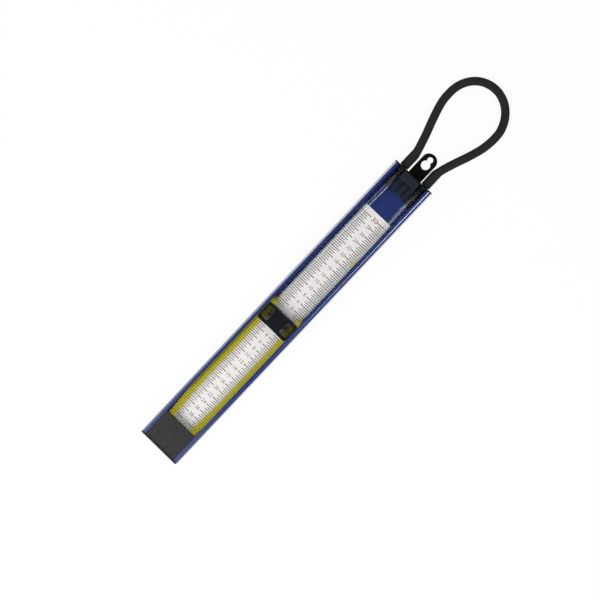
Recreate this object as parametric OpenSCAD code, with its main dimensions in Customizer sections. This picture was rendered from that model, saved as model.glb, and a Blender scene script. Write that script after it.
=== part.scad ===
// U-tube manometer for gas pressure. Two clear tubes stand over a sliding scale card in a channel case,
// a manifold joins them at the foot, and a looped hose closes the two ports at the top.
// It lies on its back with the front up: x across, y up the scale, z out of the back, millimetres.
// The origin is on the back face, half way along the case and half way across it.

/* [Scale card] */
// Card length for one millibar, half of a millibar of water because both columns move
mbar_mm = 5.1; // [4:0.1:6.5]
// Millibars marked each way from zero
scale_max = 30; // [20:2:40]
// Blank card above the last mark
card_head = 7.4; // [4:0.1:12]
// Blank card below the last mark
card_foot = 6.1; // [4:0.1:12]
// Width of the card
card_w = 38; // [30:1:44]
// Thickness of the card
card_t = 1; // [0.6:0.1:2]
// How far the card and cursor slide up to set zero
zero_travel = 27.5; // [10:0.5:40]

/* [Clear tubes] */
// Outside diameter of a clear tube
tube_od = 8; // [7:0.5:11]
// Bore of a clear tube
tube_bore = 5.5; // [4.8:0.1:6.4]
// Spacing of the tubes along the scale
leg_pitch = 36.2; // [32:0.2:42]
// Spacing of the tube ends on the ports and on the manifold
end_pitch = 31.5; // [29:0.5:35]
// Length over which a tube eases from its end spacing to its scale spacing
lean_len = 60; // [30:5:100]
// Height of the liquid above the zero mark, before zero is set
level_rise = 17.5; // [0:0.5:25]

/* [Case] */
// Thickness of the case sides
side_t = 2; // [1.5:0.1:4]
// Thickness of the case floor
floor_t = 2; // [1.8:0.1:4]
// Thickness of the front lips
lip_t = 1.6; // [1.2:0.1:3]
// How far the round rim stands above each lip
rim_rise = 0.8; // [0.4:0.1:1.5]
// How far each lip reaches over the tube beside it
lip_cover = 1; // [0:0.1:2]
// Air between each tube and the case side
side_air = 2.2; // [1:0.1:5]
// Radius of the round rim along each front edge
front_r = 1.6; // [1:0.1:2]
// Rounding of the back edges
back_r = 1.2; // [0.4:0.2:2]
// How far the cursor sits below the front edges
cursor_sink = 1.7; // [0.5:0.1:5]

/* [Top cap] */
// Thickness of the top end plate
top_plate_t = 1.5; // [1:0.1:4]
// Length of the plug that fills the end of the case
plug_len = 10; // [8:0.5:20]
// Length of the web under the plug that stops the card
web_len = 17.3; // [10:0.1:30]
// Thickness of the web
web_t = 3.5; // [2:0.1:6]
// Rise of the arch in the web's lower edge
arch_h = 3; // [2:0.5:8]
// Width of the land on each side of the arch
arch_land = 2.2; // [1:0.1:5]
// Radius of the half-round rib down the middle of the web
web_rib_r = 4.4; // [2:0.1:6]
// Thickness of the hanging tab
tab_t = 3; // [2:0.1:5]
// Width of the tab beside the large keyhole hole
tab_side = 3.6; // [2:0.05:6]
// Height of the tab above the small keyhole hole
tab_crest = 3.7; // [2:0.1:8]
// Diameter of the large keyhole hole
hang_d = 10.5; // [9:0.1:13]
// Diameter of the small keyhole hole
seat_d = 6.8; // [5:0.1:7.4]
// Height of the large hole above the end plate
hang_rise = 17.4; // [10:0.1:25]
// Distance between the two holes of the keyhole
seat_rise = 7.2; // [7:0.1:9]

/* [Ports] */
// Diameter of the hose stub over its barbs
stub_od = 7.2; // [6:0.1:8.6]
// Length of the hose stub
stub_len = 17; // [12:0.5:25]
// Length of the spigot inside the tube
spigot_len = 28; // [15:0.5:40]
// Bore through a port and through the manifold barbs
port_bore = 3.2; // [2.4:0.1:3.6]
// Width of the collar round the stub
collar_rim = 1; // [0.6:0.1:1.6]
// Thickness of the collar
collar_t = 1.5; // [1:0.1:3]
// Rise of each barb over its root
barb_rise = 0.3; // [0.1:0.05:0.5]

/* [Bottom cap] */
// Thickness of the bottom end plate
bottom_plate_t = 2; // [1:0.1:4]
// Length of the block that covers the manifold
block_len = 31.9; // [30:0.1:50]
// How far the block's face sits below the front edges
block_sink = 0.9; // [0.3:0.1:3]
// Bevel along the block's upper edge
block_bevel = 0.8; // [0.3:0.1:2]
// How far the block's brow stands out over the card
brow_len = 3.6; // [1:0.1:6]
// Width of the arched tongue outlined on the block
tongue_w = 9; // [6:0.5:20]
// Length of the arched tongue
tongue_len = 28; // [16:0.5:29]
// Width of the groove round the tongue
groove_w = 0.9; // [0.4:0.1:2]
// Depth of the groove round the tongue
groove_t = 0.3; // [0.2:0.1:1.5]

/* [Manifold] */
// Length of the manifold along the case
manifold_len = 12; // [9:0.5:15]
// Stock outside each barb and over the passage
manifold_rim = 4.8; // [4:0.1:5.4]
// Length of the barbs inside the tubes
barb_len = 13; // [8:0.5:15]
// Diameter of the cross passage
passage_d = 3.6; // [2.4:0.1:4.5]
// Diameter of the plug that closes the passage
stopper_d = 6; // [5:0.1:7]

/* [Cursor] */
// Length of the cursor along the scale
cursor_len = 22; // [18:0.5:30]
// Thickness of the cursor frame
cursor_t = 3.6; // [2.5:0.1:6]
// Width of the frame beside each window
cursor_stile = 1.8; // [1.2:0.1:3]
// Width of the frame above and below each window
cursor_rail = 3.2; // [2:0.1:5]
// Rounding of the cursor's corners
cursor_r = 2; // [0.5:0.1:3]
// Rounding of the window corners
window_r = 2.2; // [0.5:0.1:2.5]
// Thickness of the smoked windows
window_t = 1.5; // [0.8:0.1:2]
// Ledge that carries the windows
window_ledge = 0.7; // [0.4:0.1:1]
// Width of the foot that stands on the card
foot_w = 13; // [10:0.5:18]
// Length of the foot
foot_len = 15; // [13:0.5:18]
// Diameter of the two rivets that hold the card to the foot
rivet_d = 2.4; // [1.6:0.1:3]
// Diameter of the rivet heads
rivet_head_d = 4.4; // [3.6:0.1:5.5]
// Spacing of the rivets
rivet_pitch = 8; // [6.5:0.5:9]
// How far the rivets reach into the foot
rivet_grip = 5; // [3:0.5:7]

/* [Screws] */
// Diameter of the cap screws
screw_d = 2.6; // [2:0.1:3]
// Diameter of the countersunk heads
screw_head_d = 5.2; // [4.4:0.1:5.4]
// Length of the cap screws
screw_len = 8; // [5:0.5:10]
// Spacing of the two screws in a cap
screw_pitch = 10; // [8:0.5:13]
// How far the heads sit below the back
screw_sink = 0.3; // [0.1:0.05:0.4]
// Width of the slots in the cross recess
recess_w = 0.9; // [0.5:0.1:1.2]
// Depth of the cross recess
recess_t = 0.8; // [0.4:0.1:1]

/* [Hose] */
// Outside diameter of the hose
hose_od = 9.3; // [8:0.1:10.5]
// Bore of the hose
hose_bore = 5.5; // [4:0.1:6.5]

/* [Clearances] */
// Gap between pieces that slide or drop in
slide_gap = 0.3; // [0.2:0.05:0.4]
// Gap between pieces that are pushed together
push_gap = 0.1; // [0.05:0.01:0.15]
// Gap between the card and the floor
card_float = 0.2; // [0.1:0.05:0.5]
// Air between the card and the tubes
tube_lift = 1; // [0.5:0.1:2]
// Air between the tubes and the cursor
cursor_lift = 0.5; // [0.3:0.1:1]

/* [Hidden] */
$fn = 64;
tube_sides = 16;
hose_sides = 12;
lean_steps = 6;
through = 1;
left = -1;
right = 1;

// Heights above the back
card_z = floor_t + card_float;
card_top = card_z + card_t;
tube_z = card_top + tube_lift + tube_od / 2;
cursor_z = tube_z + tube_od / 2 + cursor_lift;
cursor_top = cursor_z + cursor_t;
case_d = cursor_top + cursor_sink;
lip_z = case_d - rim_rise - lip_t;
block_top = case_d - block_sink;
block_step = lip_z - slide_gap;

// Widths across the case
inner_w = leg_pitch + tube_od + 2 * side_air;
case_w = inner_w + 2 * side_t;
lip_x = (leg_pitch + tube_od) / 2 - lip_cover;
rim_x = case_w / 2 - front_r;
cursor_w = 2 * (lip_x - slide_gap);
window_in = foot_w / 2 + cursor_stile;
window_out = cursor_w / 2 - cursor_stile;
tab_w = hang_d + 2 * tab_side;
stub_r = stub_od / 2;
collar_r = stub_r + collar_rim;
plug_w = end_pitch - 2 * (collar_r + slide_gap);
manifold_x = end_pitch / 2 + manifold_rim;
stopper_len = manifold_rim - port_bore / 2 - slide_gap;

// Places along the case, from the foot of the channel to its head
scale_len = 2 * scale_max * mbar_mm;
card_len = card_foot + scale_len + card_head;
case_len = block_len + slide_gap + card_len + zero_travel + slide_gap + web_len + plug_len;
foot_y = -case_len / 2;
head_y = case_len / 2;
top_y = head_y + top_plate_t;
block_y = foot_y + block_len;
brow_y = block_y + brow_len;
card_y = block_y + slide_gap;
zero_y = card_y + card_foot + scale_len / 2;
level_y = zero_y + level_rise;
manifold_y = foot_y + slide_gap;
passage_y = manifold_y + manifold_len / 2;
barb_y = manifold_y + manifold_len;
barb_tip = barb_y + barb_len;
spigot_y = head_y - collar_t;
spigot_tip = spigot_y - spigot_len;
block_screw_y = barb_y + 2 * screw_head_d;
plug_screw_y = head_y - plug_len / 2;

// Screw heads
head_h = (screw_head_d - screw_d) / 2;
recess_len = screw_head_d * 2 / 3;

// Fits
bore_r = tube_bore / 2;
fit_r = bore_r * cos(180 / tube_sides) - push_gap;
liquid_r = bore_r - push_gap;
hose_r = hose_od / 2;
hose_grip_r = (stub_r + push_gap) / cos(180 / hose_sides);
hose_swell_r = sqrt(pow(hose_grip_r, 2) + pow(hose_r, 2) - pow(hose_bore / 2, 2));
hose_ease = 6;
hose_lie = hose_r + card_float;

// The loop of the hose, port to port: across, height above the end plate, and share of the drop to the table
loop = [
    [-18.4, 29.4, 0.22], [-22.4, 42.3, 0.55], [-27, 55.2, 0.85], [-31.2, 68.2, 1], [-33.1, 75.5, 1],
    [-34.3, 82, 1], [-34.7, 88.6, 1], [-34.3, 97.7, 1], [-31.8, 107, 1], [-26.8, 115.5, 1],
    [-19.4, 122.4, 1], [-9.9, 126.7, 1], [0.6, 127.9, 1], [10.9, 125.7, 1], [19.7, 120.8, 1],
    [26.7, 113.8, 1], [31.5, 105.8, 1], [34.3, 97.1, 1], [34.8, 88.2, 1], [34.4, 81.5, 1], [33.5, 75, 1],
    [31.9, 68, 1], [27.8, 55.2, 0.85], [22.9, 42.3, 0.55], [18.4, 29.4, 0.22]];
stub_run = [[0, slide_gap, 0], [0, stub_len / 2, 0], [0, stub_len, 0], [0.9, stub_len + hose_ease, 0.08]];
route = concat([for (p = stub_run) [-end_pitch / 2 - p[0], p[1], p[2]]], loop,
    [for (i = [3 : -1 : 0]) [end_pitch / 2 + stub_run[i][0], stub_run[i][1], stub_run[i][2]]]);

// Share of a smooth step from 0 to 1
function ease(t) = let (c = max(0, min(1, t))) c * c * (3 - 2 * c);

// Distance of a tube's centre from the middle of the case
function leg_x(y) = end_pitch / 2 + (leg_pitch - end_pitch) / 2
    * min(ease((y - barb_tip) / lean_len), ease((spigot_tip - y) / lean_len));

function unit(v) = v / norm(v);

// Points of one ring round p, square to direction t
function ring(p, t, r, sides) = let (u = unit(cross(t, [0, 0, 1])), v = cross(u, unit(t)))
    [for (k = [0 : sides - 1]) p + r * (cos(360 * k / sides) * u + sin(360 * k / sides) * v)];

// Triangles between neighbouring rings, first ring's points starting at index base
function skin(rings, sides, base, inward) = [for (i = [0 : rings - 2], k = [0 : sides - 1], h = [0, 1])
    let (a = base + i * sides + k, b = base + i * sides + (k + 1) % sides,
        f = h == 0 ? [a, b, a + sides] : [b, b + sides, a + sides])
    inward ? [f[0], f[2], f[1]] : f];

// Triangles of the end face between an outer ring and an inner ring
function rim(outer, inner, sides, last) = [for (k = [0 : sides - 1], h = [0, 1])
    let (n = (k + 1) % sides,
        f = h == 0 ? [outer + k, outer + n, inner + k] : [outer + n, inner + n, inner + k])
    last ? f : [f[0], f[2], f[1]]];

function flat(lists) = [for (l = lists) each l];

// Stations of a tube's centre line, close together where it leans
function stations(first, last) = concat([first],
    [for (i = [0 : lean_steps]) let (y = barb_tip + lean_len * i / lean_steps) if (y > first && y < last) y],
    [for (i = [lean_steps : -1 : 0]) let (y = spigot_tip - lean_len * i / lean_steps)
        if (y > max(first, barb_tip + lean_len) && y < last) y],
    [last]);

function leg_rings(side, ys, r) = [for (y = ys) ring([side * leg_x(y), y, tube_z], [0, 1, 0], r, tube_sides)];

function hose_point(p) = [p[0], top_y + p[1], tube_z + p[2] * (hose_lie - tube_z)];
function hose_dir(i) = i == 0 ? [0, 1, 0] : i == len(route) - 1 ? [0, -1, 0]
    : hose_point(route[i + 1]) - hose_point(route[i - 1]);
function hose_swell(i) = 1 - ease((route[i][1] - stub_len) / hose_ease);
function hose_rings(plain, swollen) = [for (i = [0 : len(route) - 1])
    ring(hose_point(route[i]), hose_dir(i), plain + hose_swell(i) * (swollen - plain), hose_sides)];

// A pipe between two stacks of rings
module pipe(outer, inner, sides) {
    n = len(outer);
    base = n * sides;
    polyhedron(flat(concat(outer, inner)), concat(skin(n, sides, 0, false), skin(n, sides, base, true),
        rim(0, base, sides, false), rim(base - sides, 2 * base - sides, sides, true)));
}

// A rod inside one stack of rings
module rod(rings, sides) {
    n = len(rings);
    polyhedron(flat(rings), concat(skin(n, sides, 0, false), [[for (k = [sides - 1 : -1 : 0]) k]],
        [[for (k = [0 : sides - 1]) (n - 1) * sides + k]]));
}

// Turns a shape that stands on z so that it points up the case
module up_case(x, y) {
    translate([x, y, tube_z]) rotate([-90, 0, 0]) children();
}

// Turns a cross-section, drawn as across and height, into a length of the case
module run(y, length) {
    translate([0, y + length, 0]) rotate([90, 0, 0]) linear_extrude(length) children();
}

// A bar with tapered barbs, pointing up from its root
module barbed(length, crest_r, teeth) {
    root_r = crest_r - barb_rise;
    pitch = length / (teeth + 1);
    rotate_extrude() polygon(concat([[0, 0], [root_r, 0]],
        flat([for (i = [1 : teeth]) [[root_r, i * pitch], [crest_r, i * pitch], [root_r, (i + 1) * pitch]]]),
        [[0, length]]));
}

// A flat plate with rounded corners, drawn from its lower left corner
module rounded(size, r) {
    translate([r, 0]) square([size[0] - 2 * r, size[1]]);
    translate([0, r]) square([size[0], size[1] - 2 * r]);
    for (x = [r, size[0] - r], y = [r, size[1] - r]) translate([x, y]) circle(r);
}

// Outline of the case and of its end plates, across and height
module outline() {
    translate([-case_w / 2, back_r]) square([case_w, case_d - back_r - front_r]);
    translate([back_r - case_w / 2, 0]) square([case_w - 2 * back_r, case_d / 2]);
    translate([front_r - case_w / 2, case_d / 2]) square([case_w - 2 * front_r, case_d / 2]);
    for (s = [left, right]) {
        translate([s * (case_w / 2 - back_r), back_r]) circle(back_r);
        translate([s * (case_w / 2 - front_r), case_d - front_r]) circle(front_r);
    }
}

// Tongue outline with a round upper end, standing on the block's lower edge
module tongue(w, length) {
    translate([-w / 2, 0]) square([w, length - w / 2]);
    translate([0, length - w / 2]) circle(d = w);
}

// One countersunk screw standing on its head
module screw() {
    translate([0, 0, screw_sink]) difference() {
        union() {
            cylinder(d1 = screw_head_d, d2 = screw_d, h = head_h);
            cylinder(d = screw_d, h = screw_len);
        }
        for (a = [0, 90]) rotate(a) translate([-recess_len / 2, -recess_w / 2, -through])
            cube([recess_len, recess_w, through + recess_t]);
    }
}

// The countersunk hole for one screw through the case floor
module screw_hole() {
    wide_d = screw_head_d + 2 * push_gap;
    shank_d = screw_d + 2 * push_gap;
    translate([0, 0, -through]) cylinder(d = wide_d, h = through + screw_sink);
    translate([0, 0, screw_sink]) cylinder(d1 = wide_d, d2 = shank_d, h = head_h);
    cylinder(d = shank_d, h = floor_t + through);
}

// The pilot hole for one screw in a cap
module pilot() {
    translate([0, 0, screw_sink]) cylinder(d = screw_d + push_gap, h = screw_len + slide_gap);
}

// Places a shape at both screws of a cap
module at_screws(y) {
    for (s = [left, right]) translate([s * screw_pitch / 2, y, 0]) children();
}

module case() {
    color("midnightblue") difference() {
        run(foot_y, case_len) {
            difference() {
                union() {
                    difference() {
                        outline();
                        translate([-rim_x, lip_z + lip_t]) square([2 * rim_x, case_d]);
                    }
                    for (s = [left, right]) translate([s * rim_x, case_d - front_r]) circle(front_r);
                }
                translate([-inner_w / 2, floor_t]) square([inner_w, lip_z - floor_t]);
                translate([-lip_x - lip_t / 2, floor_t]) square([2 * lip_x + lip_t, case_d]);
            }
            for (s = [left, right])
                translate([s * (lip_x + lip_t / 2), lip_z + lip_t / 2]) circle(d = lip_t);
        }
        at_screws(block_screw_y) screw_hole();
        at_screws(plug_screw_y) screw_hole();
    }
}

module top_cap() {
    tab_h = hang_rise + seat_rise + seat_d / 2 + tab_crest;
    arch_w = plug_w - 2 * arch_land;
    arch_r = (pow(arch_w / 2, 2) + pow(arch_h, 2)) / (2 * arch_h);
    web_y = head_y - plug_len - web_len;
    color("#14140f") difference() {
        union() {
            run(head_y, top_plate_t) outline();
            translate([-plug_w / 2, head_y - plug_len, floor_t])
                cube([plug_w, plug_len, cursor_top - floor_t]);
            translate([-plug_w / 2, web_y, floor_t]) cube([plug_w, web_len, web_t]);
            run(web_y, web_len) intersection() {
                translate([0, floor_t + web_t]) circle(web_rib_r);
                translate([-web_rib_r, floor_t]) square([2 * web_rib_r, web_t + web_rib_r]);
            }
            translate([-tab_w / 2, top_y, 0]) cube([tab_w, tab_h - tab_w / 2, tab_t]);
            translate([0, top_y + tab_h - tab_w / 2, 0]) cylinder(d = tab_w, h = tab_t);
        }
        translate([0, web_y + arch_h - arch_r, floor_t - through])
            cylinder(r = arch_r, h = web_t + web_rib_r + 2 * through);
        for (s = [left, right]) up_case(s * end_pitch / 2, head_y - through)
            cylinder(r = stub_r + push_gap, h = top_plate_t + 2 * through);
        translate([0, top_y + hang_rise, -through]) cylinder(d = hang_d, h = tab_t + 2 * through);
        translate([0, top_y + hang_rise + seat_rise, -through])
            cylinder(d = seat_d, h = tab_t + 2 * through);
        at_screws(plug_screw_y) pilot();
    }
}

module top_cap_screws() {
    color("silver") at_screws(plug_screw_y) screw();
}

module bottom_cap() {
    cavity_w = end_pitch + 2 * (manifold_rim + slide_gap);
    cavity_top = tube_z + manifold_rim + slide_gap;
    tunnel_r = tube_od / 2 + 2 * slide_gap;
    block_w = inner_w - 2 * slide_gap;
    color("#444446") {
        run(foot_y - bottom_plate_t, bottom_plate_t) outline();
        difference() {
            intersection() {
                run(foot_y, block_len + brow_len) {
                    translate([-block_w / 2, floor_t]) square([block_w, block_step - floor_t]);
                    translate([-cursor_w / 2, floor_t]) square([cursor_w, block_top - floor_t]);
                }
                translate([-block_w / 2, 0, 0]) rotate([90, 0, 90]) linear_extrude(block_w) polygon([
                    [foot_y, floor_t], [block_y, floor_t], [block_y, block_step], [brow_y, block_step],
                    [brow_y, block_top - block_bevel], [brow_y - block_bevel, block_top],
                    [foot_y, block_top]]);
            }
            translate([-cavity_w / 2, foot_y, floor_t - through])
                cube([cavity_w, manifold_len + 2 * slide_gap, cavity_top - floor_t + through]);
            for (s = [left, right]) {
                up_case(s * end_pitch / 2, foot_y + manifold_len) cylinder(r = tunnel_r, h = block_len);
                translate([s * end_pitch / 2 - tunnel_r, foot_y + manifold_len, floor_t - through])
                    cube([2 * tunnel_r, block_len, tube_z - floor_t + through]);
            }
            translate([0, foot_y, block_top - groove_t]) linear_extrude(groove_t + through) difference() {
                tongue(tongue_w + 2 * groove_w, tongue_len + groove_w);
                tongue(tongue_w, tongue_len);
            }
            at_screws(block_screw_y) pilot();
        }
    }
}

module bottom_cap_screws() {
    color("silver") at_screws(block_screw_y) screw();
}

module u_manifold() {
    color("#2a2a2c") difference() {
        union() {
            translate([-manifold_x, manifold_y, floor_t])
                cube([2 * manifold_x, manifold_len, tube_z + manifold_rim - floor_t]);
            for (s = [left, right]) up_case(s * end_pitch / 2, barb_y) barbed(barb_len, fit_r, 3);
        }
        translate([-manifold_x - through, passage_y, tube_z]) rotate([0, 90, 0])
            cylinder(d = passage_d, h = manifold_x + through + end_pitch / 2);
        translate([-manifold_x - through, passage_y, tube_z]) rotate([0, 90, 0])
            cylinder(d = stopper_d + 2 * push_gap, h = stopper_len + through);
        for (s = [left, right]) up_case(s * end_pitch / 2, passage_y)
            cylinder(d = port_bore, h = barb_tip - passage_y + through);
    }
}

module manifold_plug() {
    color("silver") translate([-manifold_x, passage_y, tube_z]) rotate([0, 90, 0]) difference() {
        cylinder(d = stopper_d, h = stopper_len);
        translate([0, 0, -through]) cylinder(d = stopper_d / 2, h = through + stopper_len / 2, $fn = 6);
    }
}

module port(side) {
    color("#232321") up_case(side * end_pitch / 2, head_y) difference() {
        union() {
            translate([0, 0, -collar_t]) cylinder(r = collar_r, h = collar_t);
            cylinder(r = stub_r, h = top_plate_t + slide_gap);
            translate([0, 0, top_plate_t]) barbed(stub_len, stub_r, 3);
            translate([0, 0, -collar_t]) mirror([0, 0, 1]) barbed(spigot_len, fit_r, 4);
        }
        translate([0, 0, -collar_t - spigot_len - through])
            cylinder(d = port_bore, h = spigot_len + collar_t + top_plate_t + stub_len + 2 * through);
    }
}

module left_port() {
    port(left);
}

module right_port() {
    port(right);
}

module tube(side) {
    ys = stations(barb_y + slide_gap, spigot_y - slide_gap);
    color([0.85, 0.9, 0.92, 0.4])
        pipe(leg_rings(side, ys, tube_od / 2), leg_rings(side, ys, bore_r), tube_sides);
}

module left_tube() {
    tube(left);
}

module right_tube() {
    tube(right);
}

module hose() {
    color("#2d2d2a")
        pipe(hose_rings(hose_r, hose_swell_r), hose_rings(hose_bore / 2, hose_grip_r), hose_sides);
}

module scale_card() {
    color("ivory") difference() {
        translate([-card_w / 2, card_y, card_z]) cube([card_w, card_len, card_t]);
        for (s = [-1, 1]) translate([0, zero_y + s * rivet_pitch / 2, card_z - through]) {
            cylinder(d = rivet_d + 2 * push_gap, h = card_t + 2 * through);
            cylinder(d = rivet_head_d + 2 * push_gap, h = card_t / 2 + through);
        }
    }
}

// Outline of one window, larger all round by grow
module window_shape(side, grow) {
    w = window_out - window_in + 2 * grow;
    length = cursor_len - 2 * cursor_rail + 2 * grow;
    translate([side * (window_in + window_out) / 2 - w / 2, zero_y - length / 2])
        rounded([w, length], window_r);
}

module cursor_frame() {
    color("#121621") difference() {
        union() {
            translate([0, 0, cursor_z]) linear_extrude(cursor_t)
                translate([-cursor_w / 2, zero_y - cursor_len / 2]) rounded([cursor_w, cursor_len], cursor_r);
            translate([-foot_w / 2, zero_y - foot_len / 2, card_top])
                cube([foot_w, foot_len, cursor_z - card_top]);
        }
        for (s = [left, right]) {
            translate([0, 0, cursor_z - through]) linear_extrude(cursor_t + 2 * through) window_shape(s, 0);
            translate([0, 0, cursor_top - window_t - push_gap]) linear_extrude(window_t + through)
                window_shape(s, window_ledge + push_gap);
        }
        for (s = [-1, 1]) translate([0, zero_y + s * rivet_pitch / 2, card_top - through])
            cylinder(d = rivet_d + push_gap, h = rivet_grip + 2 * through);
    }
}

module window(side) {
    color([0.12, 0.12, 0.1, 0.6]) translate([0, 0, cursor_top - window_t - push_gap])
        linear_extrude(window_t) window_shape(side, window_ledge);
}

module left_window() {
    window(left);
}

module right_window() {
    window(right);
}

module cursor_rivets() {
    color("silver") for (s = [-1, 1]) translate([0, zero_y + s * rivet_pitch / 2, card_z]) {
        cylinder(d = rivet_head_d, h = card_t / 2);
        cylinder(d = rivet_d, h = card_t + rivet_grip);
    }
}

module liquid(side) {
    color([0.66, 0.61, 0.15, 0.85])
        rod(leg_rings(side, stations(barb_tip + slide_gap, level_y), liquid_r), tube_sides);
}

module left_liquid() {
    liquid(left);
}

module right_liquid() {
    liquid(right);
}

module bend_liquid() {
    start_x = end_pitch / 2 - push_gap;
    color([0.66, 0.61, 0.15, 0.85]) {
        translate([-start_x, passage_y, tube_z]) rotate([0, 90, 0])
            cylinder(d = passage_d - 2 * push_gap, h = 2 * start_x);
        for (s = [left, right]) up_case(s * end_pitch / 2, passage_y)
            cylinder(d = port_bore - 2 * push_gap, h = barb_tip - passage_y);
    }
}

case();
top_cap();
top_cap_screws();
bottom_cap();
bottom_cap_screws();
u_manifold();
manifold_plug();
left_port();
right_port();
left_tube();
right_tube();
hose();
scale_card();
cursor_frame();
left_window();
right_window();
cursor_rivets();
left_liquid();
right_liquid();
bend_liquid();
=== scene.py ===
import math

import bmesh
import bpy
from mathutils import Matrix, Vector


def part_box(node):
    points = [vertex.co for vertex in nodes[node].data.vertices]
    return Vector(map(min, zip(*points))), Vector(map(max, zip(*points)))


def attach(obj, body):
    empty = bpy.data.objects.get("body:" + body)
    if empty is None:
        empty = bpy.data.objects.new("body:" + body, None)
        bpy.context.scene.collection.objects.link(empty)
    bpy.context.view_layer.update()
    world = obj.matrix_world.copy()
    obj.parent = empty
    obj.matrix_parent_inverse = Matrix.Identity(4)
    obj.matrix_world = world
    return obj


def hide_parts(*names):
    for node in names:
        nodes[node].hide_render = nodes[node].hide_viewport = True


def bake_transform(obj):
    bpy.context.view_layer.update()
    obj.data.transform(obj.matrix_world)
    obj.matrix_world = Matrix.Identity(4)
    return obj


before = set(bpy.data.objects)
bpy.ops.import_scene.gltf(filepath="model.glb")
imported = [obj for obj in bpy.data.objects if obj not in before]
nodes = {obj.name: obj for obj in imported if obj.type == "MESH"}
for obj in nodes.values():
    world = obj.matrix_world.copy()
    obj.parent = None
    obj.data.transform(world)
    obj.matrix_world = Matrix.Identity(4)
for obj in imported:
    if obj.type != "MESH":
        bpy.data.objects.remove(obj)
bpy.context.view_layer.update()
scene = bpy.context.scene
scene.view_settings.view_transform = "Standard"
mm = 0.001  # the settings give shapes in millimetres, and places in the looks in metres
xAxis, yAxis, zAxis = Vector((1, 0, 0)), Vector((0, 1, 0)), Vector((0, 0, 1))


def linked(name, data):
    piece = bpy.data.objects.new(name, data)
    scene.collection.objects.link(piece)
    return piece


def evaluated(piece):  # a new mesh, with the piece's modifiers in it
    bpy.context.view_layer.update()
    return bpy.data.meshes.new_from_object(piece.evaluated_get(bpy.context.evaluated_depsgraph_get()))


def baked(piece):  # the evaluated mesh in place of the modifiers
    mesh = evaluated(piece)
    piece.modifiers.clear()
    piece.data = mesh
    return piece


def settled(piece, body, slot, *replaced):
    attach(piece, body)
    if replaced:
        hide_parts(*replaced)


def ring(shell, middle, radius, across, over, sides):  # a round ring of vertices
    turns = [2 * math.pi * k / sides for k in range(sides)]
    return [shell.verts.new(middle + radius * (math.cos(t) * across + math.sin(t) * over)) for t in turns]


def bridged(shell, rings, smooth=True):  # faces from each ring to the next
    for a, b in zip(rings, rings[1:]):
        for k in range(len(a)):
            n = (k + 1) % len(a)
            shell.faces.new((a[k], a[n], b[n], b[k])).smooth = smooth


def finished(shell, name):  # the mesh, with its faces turned outwards
    bmesh.ops.recalc_face_normals(shell, faces=shell.faces)
    mesh = bpy.data.meshes.new(name)
    shell.to_mesh(mesh)
    shell.free()
    return mesh


# camera, at the photograph's own viewpoint
viewSet = {"place": (0.13928, 0.21288, 1.74682), "turn": (-1.4448, 7.5867, 43.4114), "lens": 96, "film": 36}

lens = bpy.data.cameras.new("photoView")
lens.lens, lens.sensor_width = viewSet["lens"], viewSet["film"]
eye = linked("photoView", lens)
eye.location = viewSet["place"]
eye.rotation_euler = [math.radians(a) for a in viewSet["turn"]]
scene.camera = eye
print("camera set")


class Wire:  # one socket of a node tree; sums of wires add Math nodes
    def __init__(self, tree, socket=None):
        self.tree, self.socket = tree, socket

    def node(self, kind, settings=None, sockets=None, out=0):
        made = self.tree.nodes.new(kind)
        for key, value in (settings or {}).items():
            setattr(made, key, value)
        for key, value in (sockets or {}).items():
            if isinstance(value, Wire):
                self.tree.links.new(value.socket, made.inputs[key])
            else:
                made.inputs[key].default_value = value
        return Wire(self.tree, made.outputs[out] if len(made.outputs) else None)

    def also(self, out):  # another output of the same node
        return Wire(self.tree, self.socket.node.outputs[out])

    def maths(self, operation, a, b):
        return self.node("ShaderNodeMath", {"operation": operation}, {0: a, 1: b})

    def __add__(self, other):
        return self.maths("ADD", self, other)

    def __radd__(self, other):
        return self.maths("ADD", other, self)

    def __sub__(self, other):
        return self.maths("SUBTRACT", self, other)

    def __rsub__(self, other):
        return self.maths("SUBTRACT", other, self)

    def __mul__(self, other):
        return self.maths("MULTIPLY", self, other)

    def __rmul__(self, other):
        return self.maths("MULTIPLY", other, self)


def mixed(shares, *wires):  # the wires added up, each by its share
    total = shares[0] * wires[0]
    for share, wire in zip(shares[1:], wires[1:]):
        total = total + share * wire
    return total


def spotOn(w, stretch=(1, 1, 1), source="Object"):
    spot = w.node("ShaderNodeTexCoord", out=source)
    if stretch == (1, 1, 1):
        return spot
    return w.node("ShaderNodeMapping", {}, {"Vector": spot, "Scale": stretch})


def placeOn(w):  # x, y and z on the piece, in metres
    apart = w.node("ShaderNodeSeparateXYZ", {}, {0: spotOn(w)})
    return [apart.also(i) for i in range(3)]


def speckle(w, spot, scale, detail, coarse=0.5):  # the settings give noise in this order
    return w.node("ShaderNodeTexNoise", {}, {"Vector": spot, "Scale": scale, "Detail": detail,
                                             "Roughness": coarse}, out="Fac")


def between(w, value, low, high):  # 0 at low, 1 at high, eased
    return w.node("ShaderNodeMapRange", {"interpolation_type": "SMOOTHSTEP"},
                  {"Value": value, "From Min": low, "From Max": high})


def tinted(w, share, first, second):
    return w.node("ShaderNodeMix", {"data_type": "RGBA"}, {0: share, 6: first, 7: second}, out=2)


def raised(w, height, depth, strength):  # depth in metres
    return w.node("ShaderNodeBump", {}, {"Height": height, "Distance": depth, "Strength": strength})


def plastic(w, colour, rough, normal, gloss, **more):
    return w.node("ShaderNodeBsdfPrincipled", {}, {
        "Base Color": colour, "Roughness": rough, "Normal": normal, "Specular IOR Level": gloss, **more})


def painted(name, recipe):
    material = bpy.data.materials.new(name)
    material.use_nodes = True
    material.node_tree.nodes.clear()
    start = Wire(material.node_tree)
    start.node("ShaderNodeOutputMaterial", {}, {"Surface": recipe(start)})
    return material


def dress(piece, material):
    piece.data.materials.clear()
    piece.data.materials.append(material)


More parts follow.
